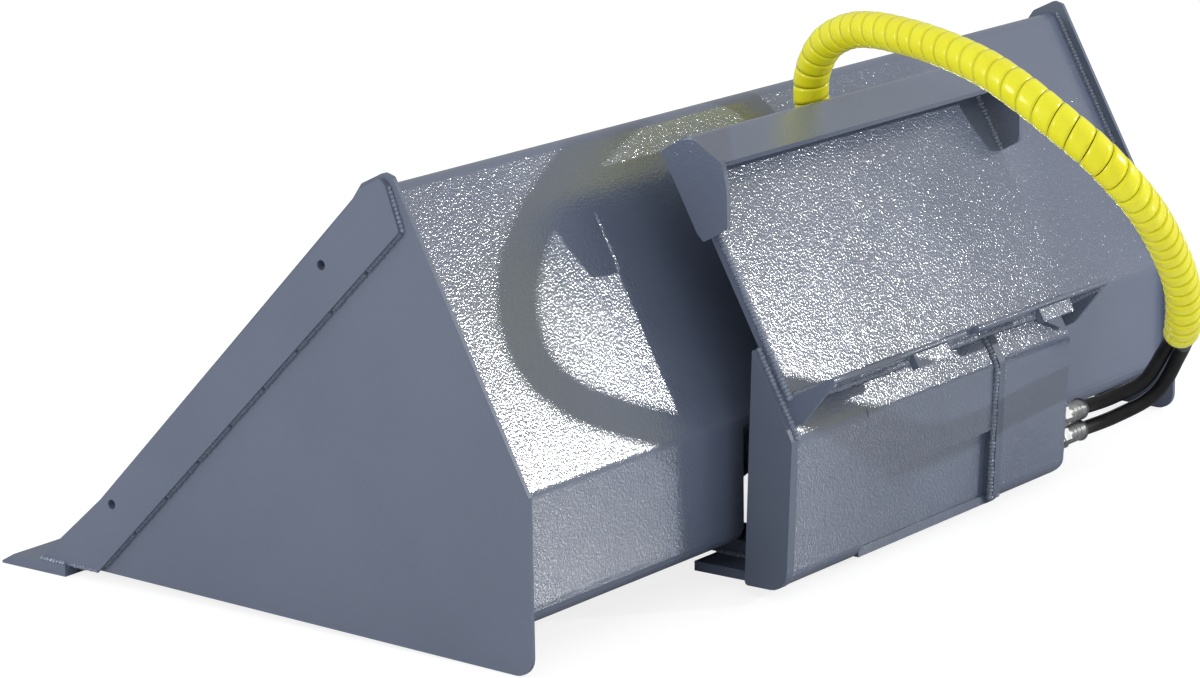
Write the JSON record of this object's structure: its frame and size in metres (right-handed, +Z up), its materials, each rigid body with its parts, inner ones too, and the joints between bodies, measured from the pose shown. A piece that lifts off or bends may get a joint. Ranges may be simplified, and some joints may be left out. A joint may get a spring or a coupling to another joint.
{
  "type": "self-dumping bucket",
  "caption": "Wide self-dumping loader bucket with slanted back, side cutters, hitch frame with hook lip, hidden tipping cylinder and two hoses in a yellow spiral guard.",
  "frame": {"origin": "middle of the footprint, on the ground, with the hoses left out", "axes": "+X along the cutting edge, to the right seen from the loader; +Y from the hitch frame towards the cutting edge; +Z up"},
  "size_m": [1.22, 1.0209, 0.5521],
  "materials": {
    "paint": "satin",
    "zinc": "satin",
    "chrome": "polished",
    "steel": "satin",
    "bronze": "satin",
    "rubber": "matte",
    "guard": "gloss"
  },
  "bodies": {
    "frame": {"attach_plate": "paint", "top_lip": "paint", "lip_gusset_left": "paint", "lip_gusset_right": "paint", "lower_ledge": "paint", "pocket_plates": "paint", "ledge_gusset_left": "paint", "ledge_gusset_right": "paint", "frame_side_plate": "paint", "frame_rib_right": "paint", "frame_rib_left": "paint", "rear_cover_left": "paint", "rear_cover_upper": "paint", "rear_cover_lower": "paint", "rear_cover_right": "paint", "bottom_plate": "paint", "arm_left": "paint", "arm_right": "paint", "arm_tie": "paint", "pivot_bosses": "paint", "pivot_bushes": "bronze", "base_lugs": "paint", "base_pin": "zinc", "base_pin_keeper": "zinc", "fitting_bracket": "paint", "bulkhead_fittings": "zinc", "cylinder_hose_low": "rubber", "cylinder_hose_high": "rubber", "hose_clamp": "zinc", "hose_ferrules": "zinc", "hose_low": "rubber", "hose_high": "rubber", "hose_guard": "guard", "hose_couplers": "zinc"},
    "bucket": {"bucket_shell": "paint", "side_plate_left": "paint", "side_plate_right": "paint", "side_cutter_left": "paint", "side_cutter_right": "paint", "cutting_edge": "paint", "recess_plate": "paint", "recess_cheek_left": "paint", "recess_cheek_right": "paint", "cylinder_tunnel": "paint", "rod_lugs": "paint", "lug_pin_ends": "zinc", "pivot_lugs": "paint", "pivot_pins": "zinc", "pivot_pin_bolts": "zinc"},
    "barrel": {"cylinder_barrel": "paint", "cylinder_gland": "zinc", "base_bush": "bronze", "barrel_ports": "zinc", "rod_side_pipe": "zinc"},
    "rod": {"piston_rod": "chrome", "piston": "steel", "rod_eye_pin": "zinc"}
  },
  "joints": [
    {"name": "bucket_tip", "type": "hinge", "parent": "frame", "child": "bucket", "pos_m": [0, 0.22025, 0.024], "axis": [-1, 0, 0], "range_deg": [0, 70]},
    {"name": "barrel_swing", "type": "hinge", "parent": "frame", "child": "barrel", "pos_m": [0, -0.30475, 0.075], "axis": [1, 0, 0], "range_deg": [0, 7.67]},
    {"name": "rod_slide", "type": "slide", "parent": "barrel", "child": "rod", "axis": [0, 0.9954, 0.0955], "range_m": [0, 0.1993]}
  ],
  "couplings": [
    {"joint": "barrel_swing", "follows": "bucket_tip", "ratio": 0.10963},
    {"joint": "rod_slide", "follows": "bucket_tip", "m_per_rad": 0.1631}
  ]
}
